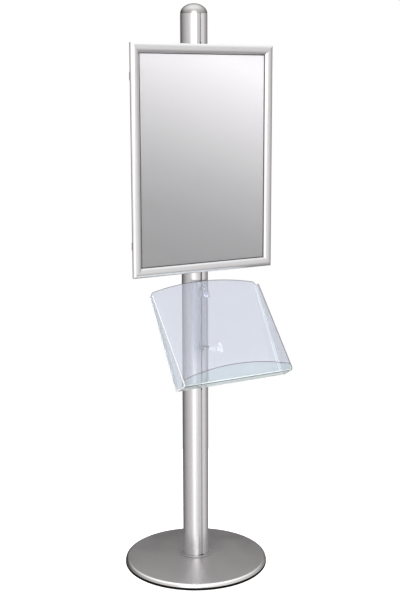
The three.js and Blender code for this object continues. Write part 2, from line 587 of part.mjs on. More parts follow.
const buildTrayClamps = () => {
  const clamps = new THREE.Group();
  const matrix = tiltedGroup().matrix;
  const postFace = -(FACET + GAP);
  const low = behindSheet(-WEDGE.below, TRAY_SHEET + GAP);
  const high = behindSheet(WEDGE.above, TRAY_SHEET + GAP);
  const seat = postFace - WEDGE_WEB;
  piece(clamps, 'tray_wedge', cut(
    prismX([[postFace, low[1]], low, high, [postFace, high[1]]].reverse(), 2 * WEDGE.half),
    faceFront(rod(SLOT_SCREW.hole, 0, -seat + 1)).translate(0, 0, WEDGE_SCREW_Z),
    faceFront(rod(SLOT_SCREW.head + 1.5, -seat, 120)).translate(0, 0, WEDGE_SCREW_Z),
    ...TRAY_SCREWS.map((up) => rod(
      TRAY_SCREW.shank + GAP, -TRAY_SCREW.length - 1, 0,
    ).translate(0, up, 0).applyMatrix4(matrix)),
  ), CLEAR);
  piece(clamps, 'tray_slot_screw', slotScrew(seat - GAP, WEDGE_SCREW_Z, 3), ZINC);
  piece(clamps, 'tray_slot_nut', slotNut(WEDGE_SCREW_Z), ZINC);

  // support arm: a T head held in the slot, and a bar that arches forward to a forked end
  const neck = box([-SLOT_HALF + GAP, SLOT_HALF - GAP], [postFace - 1, -LIP_BACK + 1], [ARM_Z - 6, ARM_Z + 6]);
  const head = box([-NUT_HALF, NUT_HALF], [-LIP_BACK + GAP, -LIP_BACK + 5], [ARM_Z - 10, ARM_Z + 10]);
  const barTop = ARM_Z + ARM_RISE;
  const barBottom = barTop - ARM_BAR;
  const bar = prismX([
    [postFace, ARM_Z - 6], [postFace, ARM_Z + 8], [-60, ARM_Z + 16], [-70, ARM_Z + 20], [-82, barTop],
    [ARM_END, barTop], [ARM_END, barBottom], [-84, barBottom], [-72, ARM_Z + 14], [-64, ARM_Z + 8],
    [-57, ARM_Z - 6],
  ], 2 * ARM_HALF);
  piece(clamps, 'tray_arm', join(bar, neck, head), BLACK);

  const { y: pinY, z: pinZ } = ARM_PIN;
  const acrossX = (geometry) => geometry.rotateY(Math.PI / 2).translate(0, pinY, pinZ);
  const stem = prismX([
    [-122, pinZ - 14], [-122, pinZ - 1], [-166, pinZ + 6.5], [pinY - 3, pinZ + 7.5],
    [pinY - 8, pinZ + 4], [pinY - 8, pinZ - 4], [pinY - 3, pinZ - 8], [-160, pinZ - 14],
  ], 2 * FORK_HALF);
  const lugSlot = FOOT_LUG.half + GAP + 0.1;
  piece(clamps, 'tray_arm_fork', cut(
    stem,
    box([-ARM_HALF - GAP, ARM_HALF + GAP], [ARM_END - GAP, -100], [barBottom - GAP, barTop + GAP]),
    box([-lugSlot, lugSlot], [pinY - 20, pinY + 11], [pinZ - 30, pinZ + 30]),
    acrossX(rod(ARM_PIN.radius + GAP, -20, 20)),
  ), WHITE);
  piece(clamps, 'tray_arm_pin', acrossX(rod(ARM_PIN.radius, -ARM_PIN.half, ARM_PIN.half)), BRASS);
  return clamps;
};

const stand = new THREE.Group();
stand.add(buildBase(), buildPost());
stand.add(buildFrame(), buildFrameClamps());
stand.add(buildTraySheets(), buildTrayClamps());
export default stand;
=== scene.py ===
import math

import bmesh
import bpy
from mathutils import Matrix, Vector
from mathutils.geometry import tessellate_polygon


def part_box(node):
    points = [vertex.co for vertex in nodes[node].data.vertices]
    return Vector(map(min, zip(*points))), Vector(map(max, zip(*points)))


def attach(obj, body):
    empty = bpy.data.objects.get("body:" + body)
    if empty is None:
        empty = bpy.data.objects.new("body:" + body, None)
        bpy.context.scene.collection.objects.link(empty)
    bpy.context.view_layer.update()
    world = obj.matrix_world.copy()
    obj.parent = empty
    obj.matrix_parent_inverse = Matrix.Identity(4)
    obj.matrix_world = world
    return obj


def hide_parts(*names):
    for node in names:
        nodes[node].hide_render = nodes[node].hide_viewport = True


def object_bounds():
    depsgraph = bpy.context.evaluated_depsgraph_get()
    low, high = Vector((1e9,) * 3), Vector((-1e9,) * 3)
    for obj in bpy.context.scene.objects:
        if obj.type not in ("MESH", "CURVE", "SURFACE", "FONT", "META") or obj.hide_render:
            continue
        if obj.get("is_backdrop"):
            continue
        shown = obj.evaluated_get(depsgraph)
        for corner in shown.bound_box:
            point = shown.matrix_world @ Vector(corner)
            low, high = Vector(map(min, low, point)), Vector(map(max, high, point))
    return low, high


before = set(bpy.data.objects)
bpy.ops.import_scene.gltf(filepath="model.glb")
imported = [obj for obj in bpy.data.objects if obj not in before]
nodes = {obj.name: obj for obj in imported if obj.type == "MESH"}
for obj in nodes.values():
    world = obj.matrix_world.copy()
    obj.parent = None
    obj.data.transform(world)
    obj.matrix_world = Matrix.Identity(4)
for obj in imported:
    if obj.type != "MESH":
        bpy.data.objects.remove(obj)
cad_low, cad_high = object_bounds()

scene = bpy.context.scene

# ---------- camera ----------
CAMERA_PLACE = Vector((-2.2820, -3.8100, 1.9847))
CAMERA_YAW = math.radians(31.1915)  # from +Y towards +X
CAMERA_PITCH = math.radians(10.7141)  # below the horizon
CAMERA_ROLL = math.radians(-0.1853)
LENS_MM = 65.52

ahead_flat = Vector((math.sin(CAMERA_YAW), math.cos(CAMERA_YAW), 0))
aside = Vector((math.cos(CAMERA_YAW), -math.sin(CAMERA_YAW), 0))
ahead = ahead_flat * math.cos(CAMERA_PITCH) - Vector((0, 0, math.sin(CAMERA_PITCH)))
upward = aside.cross(ahead)
rolled_aside = aside * math.cos(CAMERA_ROLL) + upward * math.sin(CAMERA_ROLL)
rolled_up = upward * math.cos(CAMERA_ROLL) - aside * math.sin(CAMERA_ROLL)

camera_data = bpy.data.cameras.new("camera")
camera_data.lens = LENS_MM
camera_data.sensor_width = 36
camera_data.clip_end = 100
camera = bpy.data.objects.new("camera", camera_data)
scene.collection.objects.link(camera)
camera.matrix_world = Matrix.Translation(CAMERA_PLACE) @ Matrix((
    rolled_aside, rolled_up, -ahead,
)).transposed().to_4x4()
scene.camera = camera
scene.view_settings.view_transform = "Standard"

# ---------- dimensions in millimetres, as in the CAD ----------
PAD_RADIUS = 303
PAD_FLOOR = 4
PAD_LIP_TOP = 9.5
PAD_LIP_INNER = 291
PAD_RIBS = 3
PAD_RIB_FIRST = 1.6
PAD_RIB_PITCH = 2.5
PAD_RIB_DEPTH = 0.8
COVER_RADIUS = 302
COVER_FOOT = PAD_LIP_TOP + 0.9
COVER_SHEET = 2
COVER_ROUND = 12  # radius of the rolled edge, and the height of its centre
COVER_ROUND_END = 86.5  # degrees up the rolled edge, where the cone starts
HUB_RADIUS = 58
COLLAR_BORE = 54.5
COLLAR_RADIUS = 70
COLLAR_TOP = 41.5

POST_RADIUS = 54
POST_WALL = 3
POST_FOOT = 12.6
POST_TOP = 2293
FACET_HALF = 17
FACET = math.sqrt(POST_RADIUS ** 2 - FACET_HALF ** 2)
SLOT_HALF = 2.75
LIP_BACK = FACET - 3.25
CHANNEL_HALF = 9
CHANNEL_FLOOR = LIP_BACK - 9
CHANNEL_WALL = 2.5
GAP = 0.3
CAP_FOOT = POST_TOP + GAP
CAP_HEIGHT = 40
CAP_WALL = 2.5
CAP_SEAT_RADIUS = 40
CAP_SEAT_TOP = CAP_FOOT + 4
STRIP_LOW = (44, 772)  # the filler strips, from and to
STRIP_HIGH = (2182, 2292)
STRIP_REAR = (44, 2292)
STRIP_WING = 5
STRIP_RECESS = 0.6
SET_SCREW_HEIGHT = 62

FRAME_WIDTH = 652
FRAME_HEIGHT = 902
FRAME_MIDDLE = 1273 + FRAME_HEIGHT / 2
FRAME_BACK = 70
PROFILE_WIDTH = 37
PROFILE_TOP = 16
PROFILE_EDGE = 7
HINGE_DEPTH = 6
RAIL_HEIGHTS = {"lower": 1400, "upper": 2050}

TRAY_TILT = math.radians(30)
TRAY_FRONT = 81
TRAY_TOP = 1197
TRAY_LENGTH = 398
TRAY_HALF = 254
TRAY_SHEET = 4
TRAY_DEPTH = 74
TRAY_BEND = 12

# the row frame from the poster frame's own axes (right, up, forward), and from the tilted tray's
IN_FRAME = Matrix.Translation((0, -FRAME_BACK, FRAME_MIDDLE)) @ Matrix.Rotation(math.pi / 2, 4, "X")
IN_TRAY = Matrix.Translation((0, -TRAY_FRONT, TRAY_TOP)) @ Matrix.Rotation(math.pi / 2 - TRAY_TILT, 4, "X")
# outlines drawn in (y, z) and pushed along x
ALONG_X = Matrix(((0, 0, 1, 0), (1, 0, 0, 0), (0, 1, 0, 0), (0, 0, 0, 1)))


# ---------- materials ----------
def shader(name, color, roughness, metallic=0.0, **sockets):
    """Material with one Principled shader, and its values set on the sockets."""
    made = bpy.data.materials.new(name)
    made.use_nodes = True
    node = made.node_tree.nodes["Principled BSDF"]
    node.inputs["Base Color"].default_value = (*color, 1)
    node.inputs["Roughness"].default_value = roughness
    node.inputs["Metallic"].default_value = metallic
    for socket, value in sockets.items():
        node.inputs[socket.replace("_", " ")].default_value = value
    return made


def node_of(made, kind, **inputs):
    """New node in the tree of a material or of the world, with values on its inputs."""
    node = made.node_tree.nodes.new(kind)
    for socket, value in inputs.items():
        node.inputs[socket.replace("_", " ")].default_value = value
    return node


def noise_of(made, scale, detail=3.0, roughness=0.55):
    """A noise value, with its own scale per axis in cycles per metre."""
    link = made.node_tree.links.new
    place = made.node_tree.nodes.new("ShaderNodeTexCoord")
    mapping = node_of(made, "ShaderNodeMapping", Scale=scale)
    noise = node_of(made, "ShaderNodeTexNoise", Scale=1.0, Detail=detail, Roughness=roughness)
    link(place.outputs["Object"], mapping.inputs["Vector"])
    link(mapping.outputs["Vector"], noise.inputs["Vector"])
    return noise.outputs["Fac"]


def spread(made, value, low, high, start=0.3, end=0.7):
    """value from start to end becomes low to high."""
    node = node_of(made, "ShaderNodeMapRange", From_Min=start, From_Max=end, To_Min=low, To_Max=high)
    made.node_tree.links.new(value, node.inputs["Value"])
    return node.outputs["Result"]


def mottle(made, noise, dark, light):
    """Base colour that wanders between two colours with the noise."""
    ramp = made.node_tree.nodes.new("ShaderNodeValToRGB")
    ramp.color_ramp.elements[0].position = 0.3
    ramp.color_ramp.elements[0].color = (*dark, 1)
    ramp.color_ramp.elements[1].position = 0.7
    ramp.color_ramp.elements[1].color = (*light, 1)
    link = made.node_tree.links.new
    link(noise, ramp.inputs["Fac"])
    link(ramp.outputs["Color"], made.node_tree.nodes["Principled BSDF"].inputs["Base Color"])


def rough_from(made, noise, low, high):
    made.node_tree.links.new(
        spread(made, noise, low, high), made.node_tree.nodes["Principled BSDF"].inputs["Roughness"],
    )


def bump_from(made, *layers):
    """Each layer is a noise value and the height of its bumps in metres."""
    link = made.node_tree.links.new
    normal = None
    for height, distance in layers:
        bump = node_of(made, "ShaderNodeBump", Strength=1.0, Distance=distance)
        link(height, bump.inputs["Height"])
        if normal:
            link(normal, bump.inputs["Normal"])
        normal = bump.outputs["Normal"]
    link(normal, made.node_tree.nodes["Principled BSDF"].inputs["Normal"])


def anodised(name, lengthwise):
    """Satin anodised extrusion: die lines run along it, on a very fine etched grain."""
    across = 700
    scale = [across, across, across]
    scale["xyz".index(lengthwise)] = 2.5
    made = shader(name, (0.8, 0.805, 0.82), 0.27, 0.96, Anisotropic=0.25)
    lines = noise_of(made, scale, 4, 0.65)
    grain = noise_of(made, (5200, 5200, 5200), 2)
    mottle(made, lines, (0.765, 0.77, 0.785), (0.835, 0.84, 0.855))
    rough_from(made, lines, 0.23, 0.32)
    bump_from(made, (lines, 0.000006), (grain, 0.000003))
    return made


def lacquer(name, color, roughness):
    """Fine matte silver lacquer: metal flake, a slight orange peel and faint handling marks."""
    made = shader(name, color, roughness, 1.0)
    flake = noise_of(made, (420, 420, 420), 6, 0.8)
    peel = noise_of(made, (260, 260, 260), 2)
    marks = noise_of(made, (9, 9, 9), 5, 0.6)
    mottle(made, flake, [0.78 * c for c in color], [min(1, 1.2 * c) for c in color])
    rough_from(made, marks, roughness - 0.04, roughness + 0.05)
    bump_from(made, (peel, 0.00003), (flake, 0.00002))
    return made


def steel(name, color, roughness):
    """Plain or zinc plated steel with a slight spangle and a fine grain."""
    made = shader(name, color, roughness, 1.0)
    spangle = noise_of(made, (260, 260, 260), 4, 0.6)
    grain = noise_of(made, (2600, 2600, 2600), 2)
    mottle(made, spangle, [0.88 * c for c in color], [min(1, 1.08 * c) for c in color])
    rough_from(made, spangle, roughness - 0.07, roughness + 0.08)
    bump_from(made, (grain, 0.000008))
    return made


def plastic(name, color, roughness, texture_height, scale=1500):
    """Moulded plastic with a spark-eroded texture and faint flow marks."""
    made = shader(name, color, roughness, 0.0, IOR=1.49)
    texture = noise_of(made, (scale, scale, scale), 3)
    flow = noise_of(made, (35, 35, 35), 3)
    mottle(made, flow, [0.93 * c for c in color], [min(1, 1.05 * c) for c in color])
    rough_from(made, texture, roughness - 0.05, roughness + 0.06)
    bump_from(made, (texture, texture_height))
    return made


def acrylic(name, color, roughness, transmission):
    """Clear cast acrylic; the same function also makes its copies with painted shade, veil, highlight and
    dark lines.
    """
    made = shader(name, color, roughness, 0.0, IOR=1.49, Transmission_Weight=transmission)
    smear = noise_of(made, (14, 14, 14), 4, 0.6)
    waves = noise_of(made, (6, 6, 6), 1)
    mottle(made, smear, [0.985 * c for c in color], color)
    rough_from(made, smear, max(0.0, roughness - 0.01), roughness + 0.03)
    bump_from(made, (waves, 0.00012))
    return made


POSTER_LEAN = 0.36  # how much of the fade runs to the right
# how far up the sheet, and how light it is there
POSTER_FADE = ((0.0, 0.19), (0.2, 0.25), (0.4, 0.37), (0.6, 0.535), (0.8, 0.72), (1.0, 0.92))


def printed_sheet():
    """The sheet fades from white at its top to grey at its foot, a little lighter to the right."""
    made = shader("poster_print", (0.6, 0.6, 0.62), 0.5, Specular_IOR_Level=0.35)
    link = made.node_tree.links.new
    low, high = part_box("poster")
    place = made.node_tree.nodes.new("ShaderNodeTexCoord")
    slope = made.node_tree.nodes.new("ShaderNodeVectorMath")
    slope.operation = "DOT_PRODUCT"
    slope.inputs[1].default_value = (POSTER_LEAN, 0, 1)
    link(place.outputs["Object"], slope.inputs[0])
    fade = spread(made, slope.outputs["Value"], 0.0, 1.0, low.z, high.z)
    ramp = made.node_tree.nodes.new("ShaderNodeValToRGB")
    stops = ramp.color_ramp.elements
    while len(stops) < len(POSTER_FADE):
        stops.new(0.5)
    for stop, (where, value) in zip(stops, POSTER_FADE):
        stop.position = where
        stop.color = (value, value * 0.985, value * 1.01, 1)
    link(fade, ramp.inputs["Fac"])
    link(ramp.outputs["Color"], made.node_tree.nodes["Principled BSDF"].inputs["Base Color"])
    fibres = noise_of(made, (900, 900, 900), 5, 0.7)
    rough_from(made, fibres, 0.44, 0.56)
    bump_from(made, (fibres, 0.000012))
    return made


ANODISED = {axis: anodised(f"anodised_silver_along_{axis}", axis) for axis in "xyz"}
CAP_METAL = lacquer("cap_metal", (0.54, 0.53, 0.525), 0.24)
# near-black steel for the faces inside the T channels: painted shade for the shade that falls in the channels
CHANNEL_PAINTED_SHADE = steel("channel_painted_shade", (0.03, 0.03, 0.03), 0.6)
BASE_LACQUER = lacquer("base_lacquer", (0.48, 0.463, 0.463), 0.42)
# a much lighter copy of the base lacquer for the rolled rim: painted highlight
RIM_PAINTED_HIGHLIGHT = lacquer("base_rim_painted_highlight", (0.96, 0.955, 0.95), 0.24)
COLLAR_LACQUER = lacquer("collar_lacquer", (0.44, 0.43, 0.43), 0.46)
RAW_STEEL = steel("plain_steel", (0.5, 0.51, 0.52), 0.38)
ZINC = steel("zinc_plate", (0.7, 0.71, 0.73), 0.28)
BRASS = steel("turned_brass", (0.76, 0.6, 0.26), 0.27)
RUBBER = plastic("anti_slip_rubber", (0.004, 0.004, 0.004), 0.8, 0.00006, 900)
RUBBER.node_tree.nodes["Principled BSDF"].inputs["Specular IOR Level"].default_value = 0.1
FILLER = plastic("slot_filler", (0.27, 0.265, 0.26), 0.5, 0.00001)
BLACK = plastic("black_moulding", (0.035, 0.036, 0.04), 0.42, 0.00003)
WHITE_GLOWING = plastic("white_moulding_painted_glow", (0.95, 0.95, 0.95), 0.32, 0.00001)
# painted light: the white mouldings glow a little, though they are no lamp
WHITE_GLOWING.node_tree.nodes["Principled BSDF"].inputs["Emission Color"].default_value = (1, 1, 1, 1)
WHITE_GLOWING.node_tree.nodes["Principled BSDF"].inputs["Emission Strength"].default_value = 0.4
BACKING = plastic("backing_sheet", (0.72, 0.725, 0.73), 0.55, 0.00002, 700)
CLEAR = acrylic("clear_acrylic", (0.87, 0.93, 0.925), 0.01, 1.0)
# darker, bluish, part-milky copy of the acrylic: painted shade with a painted veil of reflected light
CLEAR_SHADE_AND_VEIL = acrylic("clear_acrylic_painted_shade_and_veil", (0.66, 0.685, 0.755), 0.02, 0.78)
# lighter, clearer copy of the acrylic for lit faces: painted light
CLEAR_PAINTED_LIGHTER = acrylic("clear_acrylic_painted_lighter", (0.975, 1.0, 0.99), 0.01, 0.97)
# milky white copy of the acrylic for edges and faces that catch the light: painted highlight
CLEAR_PAINTED_HIGHLIGHT = acrylic("clear_acrylic_painted_highlight", (1.0, 1.0, 1.0), 0.3, 0.12)
# near-opaque dark copy of the acrylic for the cut edges and rim strips: painted dark lines of shade
CLEAR_PAINTED_DARK_LINE = acrylic("clear_acrylic_painted_dark_line", (0.15, 0.14, 0.14), 0.4, 0.0)
CLEAR_BLOCK = acrylic("clear_acrylic_block", (0.93, 0.95, 0.96), 0.03, 1.0)
CLEAR_BLOCK.node_tree.nodes["Principled BSDF"].inputs["IOR"].default_value = 1.2
# near-black strips under the front profiles' inner edges: painted shade
SHADE_LIP = plastic("painted_shade_lip", (0.05, 0.05, 0.05), 0.55, 0.00002)
POSTER = printed_sheet()
COVER = shader("cover_sheet", (0.9, 0.92, 0.94), 0.22, 0.0, Alpha=0.1, IOR=1.49)
rough_from(COVER, noise_of(COVER, (2400, 2400, 2400), 2), 0.16, 0.28)
bump_from(COVER, (noise_of(COVER, (5, 5, 5), 2), 0.0001))


# ---------- shapes: each is (points in mm, faces, one material number per face) ----------
def rounded(points, radius=0.0, steps=3):
    """Outline with rounded corners. A third number on a point is its own radius."""
    out = []
    for i, point in enumerate(points):
        r = point[2] if len(point) > 2 else radius
        here = Vector(point[:2])
        back = Vector(points[i - 1][:2]) - here
        on = Vector(points[(i + 1) % len(points)][:2]) - here
        inside = back.angle(on)
        if r <= 0 or inside > math.radians(178):
            out.append(tuple(here))
            continue
        reach = min(r / math.tan(inside / 2), 0.48 * back.length, 0.48 * on.length)
        r = reach * math.tan(inside / 2)
        centre = here + (back.normalized() + on.normalized()).normalized() * (r / math.sin(inside / 2))
        start = here + back.normalized() * reach - centre
        end = here + on.normalized() * reach - centre
        first = math.atan2(start.y, start.x)
        turn = (math.atan2(end.y, end.x) - first + math.pi) % (2 * math.pi) - math.pi
        for k in range(steps + 1):
            angle = first + turn * k / steps
            out.append((centre.x + r * math.cos(angle), centre.y + r * math.sin(angle)))
    return out


def arc(cx, cy, radius, start, end, steps):
    """Points on an arc, ends included, in degrees."""
    angles = [math.radians(start + (end - start) * i / steps) for i in range(steps + 1)]
    return [(cx + radius * math.cos(a), cy + radius * math.sin(a)) for a in angles]


def bow(half, edge, middle, steps):
    """The arc through (-half, edge), (0, middle) and (half, edge), left to right."""
    rise = middle - edge
    radius = (half ** 2 + rise ** 2) / (2 * rise)
    sweep = math.degrees(math.asin(half / radius))
    return arc(0, middle - radius, radius, 90 + sweep, 90 - sweep, steps)


def smooth_line(points, steps=6):
    """A Catmull-Rom curve through the points."""
    ends = [points[0], *points, points[-1]]
    out = []
    for i in range(len(points) - 1):
        a, b, c, d = (Vector(p) for p in ends[i:i + 4])
        for k in range(steps):
            t = k / steps
            out.append(tuple(0.5 * (
                2 * b + (c - a) * t + (2 * a - 5 * b + 4 * c - d) * t ** 2 + (3 * b - a - 3 * c + d) * t ** 3
            )))
    return out + [points[-1]]


def lathe(profile, segments=96, closed=False):
    """A profile of (radius, height) turned about z. A closed one is a ring."""
    points, faces, rows = [], [], []
    for r, z in profile:
        if r < 1e-6:
            rows.append([len(points)])
            points.append((0, 0, z))
            continue
        rows.append(list(range(len(points), len(points) + segments)))
        points += [
            (r * math.cos(2 * math.pi * i / segments), r * math.sin(2 * math.pi * i / segments), z)
            for i in range(segments)
        ]
    pairs = list(zip(rows, rows[1:] + rows[:1])) if closed else list(zip(rows, rows[1:]))
    for low, high in pairs:
        for i in range(segments):
            j = (i + 1) % segments
            face = [low[i % len(low)], low[j % len(low)], high[j % len(high)], high[i % len(high)]]
            faces.append(list(dict.fromkeys(face)))
    return points, faces, [0] * len(faces)


def prism(outline, start, end, hole=None, side=0, slant=0.0):
    """Outline in (x, y) pushed from start to end along z. slant mitres both ends by x."""
    loops = [outline] + ([hole] if hole else [])
    points, faces = [], []
    for height in (start, end):
        lean = slant if height == start else -slant
        for loop in loops:
            points += [(x, y, height + lean * x) for x, y in loop]
    count = sum(len(loop) for loop in loops)
    at = 0
    for loop in loops:
        n = len(loop)
        faces += [[at + i, at + (i + 1) % n, at + count + (i + 1) % n, at + count + i] for i in range(n)]
        at += n
    ids = [side] * len(faces)
    if hole:
        flat = [[Vector((x, y, 0)) for x, y in loop] for loop in loops]
        caps = [list(face) for face in tessellate_polygon(flat)]
        faces += caps + [[i + count for i in face] for face in caps]
        ids += [0] * (2 * len(caps))
    else:
        faces += [list(range(count)), [i + count for i in range(count)]]
        ids += [0, 0]
    return points, faces, ids


def placed(shape, matrix):
    points, faces, ids = shape
    return [tuple(matrix @ Vector(p)) for p in points], faces, ids


def together(*shapes):
    points, faces, ids = [], [], []
    for more, more_faces, more_ids in shapes:
        faces += [[i + len(points) for i in face] for face in more_faces]
        points += more
        ids += more_ids
    return points, faces, ids


def bar(x, y, z, radius=0.6):
    """A bar along x with rounded long edges."""
    (y0, y1), (z0, z1) = y, z
    outline = rounded([(y0, z0), (y1, z0), (y1, z1), (y0, z1)], radius)
    return placed(prism(outline, *x), ALONG_X)


def socket_screw(head, height, shank, length, key):
    """Button head screw along z with a hexagon socket: its head stands on z = 0."""
    segments = 48

    def hexagon(i):
        angle = math.pi / 6 - (2 * math.pi * i / segments) % (math.pi / 3)
        return key / math.cos(angle)

    dome = [(head * math.cos(t), height * (0.25 + 0.75 * math.sin(t))) for t in
            (math.radians(a) for a in (0, 12, 26, 40, 54, 66))]
    profile = [(0, -length), (shank * 0.8, -length), (shank, -length + shank * 0.4), (shank, 0),
               (head * 0.97, 0), (head, height * 0.1), *dome]
    points, faces, ids = lathe(profile, segments)
    top = len(points) - segments
    rims = []
    for depth in (height, height - 0.25, height * 0.35):
        shrink = 1.06 if depth == height else 1.0
        rims.append(list(range(len(points), len(points) + segments)))
        points += [
            (hexagon(i) * shrink * math.cos(2 * math.pi * i / segments),
             hexagon(i) * shrink * math.sin(2 * math.pi * i / segments), depth)
            for i in range(segments)
        ]
    rows = [list(range(top, top + segments)), *rims]
    for low, high in zip(rows, rows[1:]):
        for i in range(segments):
            j = (i + 1) % segments
            faces.append([low[i], low[j], high[j], high[i]])
    faces.append(rims[-1])
    return points, faces, [0] * len(faces)


def piece(name, shape, body, slot, materials, replaced=None, bevel=0.0, sharp=32):
    """Puts a shape into the scene, in metres, in the place of a CAD node if one is named."""
    points, faces, ids = shape
    mesh = bpy.data.meshes.new(name)
    mesh.from_pydata([[v / 1000 for v in p] for p in points], [], faces)
    materials = materials if isinstance(materials, (list, tuple)) else [materials]
    for made in materials:
        mesh.materials.append(made)
    if len(materials) > 1:
        mesh.polygons.foreach_set("material_index", ids)
    edit = bmesh.new()
    edit.from_mesh(mesh)
    bmesh.ops.remove_doubles(edit, verts=edit.verts, dist=1e-7)
    bmesh.ops.recalc_face_normals(edit, faces=edit.faces)
    edit.to_mesh(mesh)
    edit.free()
    mesh.shade_smooth()
    mesh.set_sharp_from_angle(angle=math.radians(sharp))
    made = bpy.data.objects.new(name, mesh)
    scene.collection.objects.link(made)
    if bevel:
        edge = made.modifiers.new("edges", "BEVEL")
        edge.width = bevel / 1000
        edge.segments = 2
        edge.limit_method = "ANGLE"
        edge.angle_limit = math.radians(40)
        edge.harden_normals = True
        edge.use_clamp_overlap = True
    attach(made, body)
    if slot == "clear_acrylic":
        made.visible_shadow = False  # a clear sheet lets the lamp's light through
    if replaced:
        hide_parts(replaced)
    return made


# ---------- base ----------
ROUND_STEPS = 192
pad_ribs = []
rib_root = PAD_RADIUS - PAD_RIB_DEPTH
for i in range(PAD_RIBS):
    low = PAD_RIB_FIRST + PAD_RIB_PITCH * i
    pad_ribs += [(PAD_RADIUS, low), (rib_root, low + 0.35), (rib_root, low + 0.75), (PAD_RADIUS, low + 1.1)]
piece("rubber_pad", lathe([
    (0, 0), (PAD_RADIUS - 4, 0), (PAD_RADIUS - 0.6, 0.5), *pad_ribs, (PAD_RADIUS, PAD_LIP_TOP - 0.4),
    (PAD_RADIUS - 0.4, PAD_LIP_TOP), (PAD_LIP_INNER, PAD_LIP_TOP), (PAD_LIP_INNER, PAD_FLOOR), (0, PAD_FLOOR),
], ROUND_STEPS), "stand", "rubber_black", RUBBER, "base_pad")

round_centre = COVER_RADIUS - COVER_ROUND
rim_outside = arc(round_centre, COVER_ROUND, COVER_ROUND, 0, COVER_ROUND_END, 14)
rim_inside = arc(round_centre, COVER_ROUND, COVER_ROUND - COVER_SHEET, COVER_ROUND_END, 0, 14)
points, faces, ids = lathe([
    (COVER_RADIUS - COVER_SHEET, COVER_FOOT), (COVER_RADIUS - 0.4, COVER_FOOT),
    (COVER_RADIUS, COVER_FOOT + 0.4), *rim_outside, (220, 28.47), (140, 33.5),
    (HUB_RADIUS + 0.4, 38.47), (HUB_RADIUS, 38.2), (HUB_RADIUS, 36.5), *rim_inside,
], ROUND_STEPS, closed=True)
# the rolled edge, from just outside the cone, gets a much lighter copy of the lacquer: a painted highlight
ids = [int(min(math.hypot(*points[i][:2]) for i in face) > round_centre + 0.5) for face in faces]
piece("weighted_cover", (points, faces, ids), "stand", "base_silver", [BASE_LACQUER, RIM_PAINTED_HIGHLIGHT], "base_cover")

piece("foot_collar", lathe(rounded([
    (COLLAR_BORE, 38.9, 0.2), (HUB_RADIUS, 38.9), (COLLAR_RADIUS, 38.05, 0.3),
    (COLLAR_RADIUS, COLLAR_TOP, 1.4), (COLLAR_BORE, COLLAR_TOP, 0.5),
], 0.0, 6), 128, closed=True), "stand", "base_silver", COLLAR_LACQUER, "base_collar")

# ---------- post ----------
facet_end = math.degrees(math.acos(FACET_HALF / POST_RADIUS))


def slot_edge(sign):
    """One slotted side, from its +x edge to its -x edge on the +y side, or the other way on -y."""
    row = [
        (SLOT_HALF, FACET, 0.55), (SLOT_HALF, LIP_BACK, 0.3), (CHANNEL_HALF, LIP_BACK, 0.3),
        (CHANNEL_HALF, CHANNEL_FLOOR, 0.5),
    ]
    row += [(-x, y, r) for x, y, r in reversed(row)]
    return [(sign * x, sign * y, r) for x, y, r in row]


def post_arc(start, end):
    row = arc(0, 0, POST_RADIUS, start, end, 64)
    return [(*row[0], 0.9), *row[1:-1], (*row[-1], 0.9)]


def cavity():
    """Inside of the post: a circle with a notch for each T channel."""
    radius = POST_RADIUS - POST_WALL
    wall = CHANNEL_HALF + CHANNEL_WALL
    notch = CHANNEL_FLOOR - CHANNEL_WALL
    flat = LIP_BACK
    end = math.degrees(math.asin(flat / radius))
    right = arc(0, 0, radius, -end, end, 48)
    left = [(-x, -y) for x, y in right]
    return [
        (wall, -notch), (wall, -flat), *right, (wall, flat), (wall, notch),
        (-wall, notch), (-wall, flat), *left, (-wall, -flat), (-wall, -notch),
    ]


def slot_inside(shape):
    """Gives the faces inside the T channels the second material: near-black, painted shade for the shade
    inside the channels.
    """
    points, faces, ids = shape
    for k, face in enumerate(faces):
        x = max(abs(points[i][0]) for i in face)
        y = [abs(points[i][1]) for i in face]
        inside = x < CHANNEL_HALF + 0.1 and max(y) < FACET - 0.5 and min(y) > CHANNEL_FLOOR - 0.1
        if len(face) == 4 and (inside or x < SLOT_HALF + 0.05):
            ids[k] = 1
    return points, faces, ids


post_outline = rounded([
    *post_arc(-facet_end, facet_end), *slot_edge(1),
    *post_arc(180 - facet_end, 180 + facet_end), *slot_edge(-1),
], 0, 3)
piece("post_extrusion", slot_inside(prism(post_outline, POST_FOOT, POST_TOP, cavity())),
      "stand", "anodised_silver", [ANODISED["z"], CHANNEL_PAINTED_SHADE], "post_tube")


def dome_at(radius, height):
    """The quarter of a dome from near its foot to near its top, over the cap's foot."""
    return [(radius * r, CAP_FOOT + height * z) for r, z in arc(0, 0, 1, 0, 90, 28)[2:-1]]


piece("domed_cap", lathe([
    (POST_RADIUS - 1.6, CAP_FOOT), (POST_RADIUS - 1.6, CAP_FOOT + 1.8), (POST_RADIUS - 0.6, CAP_FOOT + 2),
    *dome_at(POST_RADIUS, CAP_HEIGHT), (0, CAP_FOOT + CAP_HEIGHT), (0, CAP_FOOT + CAP_HEIGHT - CAP_WALL),
    *reversed(dome_at(POST_RADIUS - CAP_WALL, CAP_HEIGHT - CAP_WALL)), (51.2, CAP_SEAT_TOP),
    (CAP_SEAT_RADIUS, CAP_SEAT_TOP), (CAP_SEAT_RADIUS, CAP_FOOT),
], 96, closed=True), "stand", "anodised_silver", CAP_METAL, "post_cap")


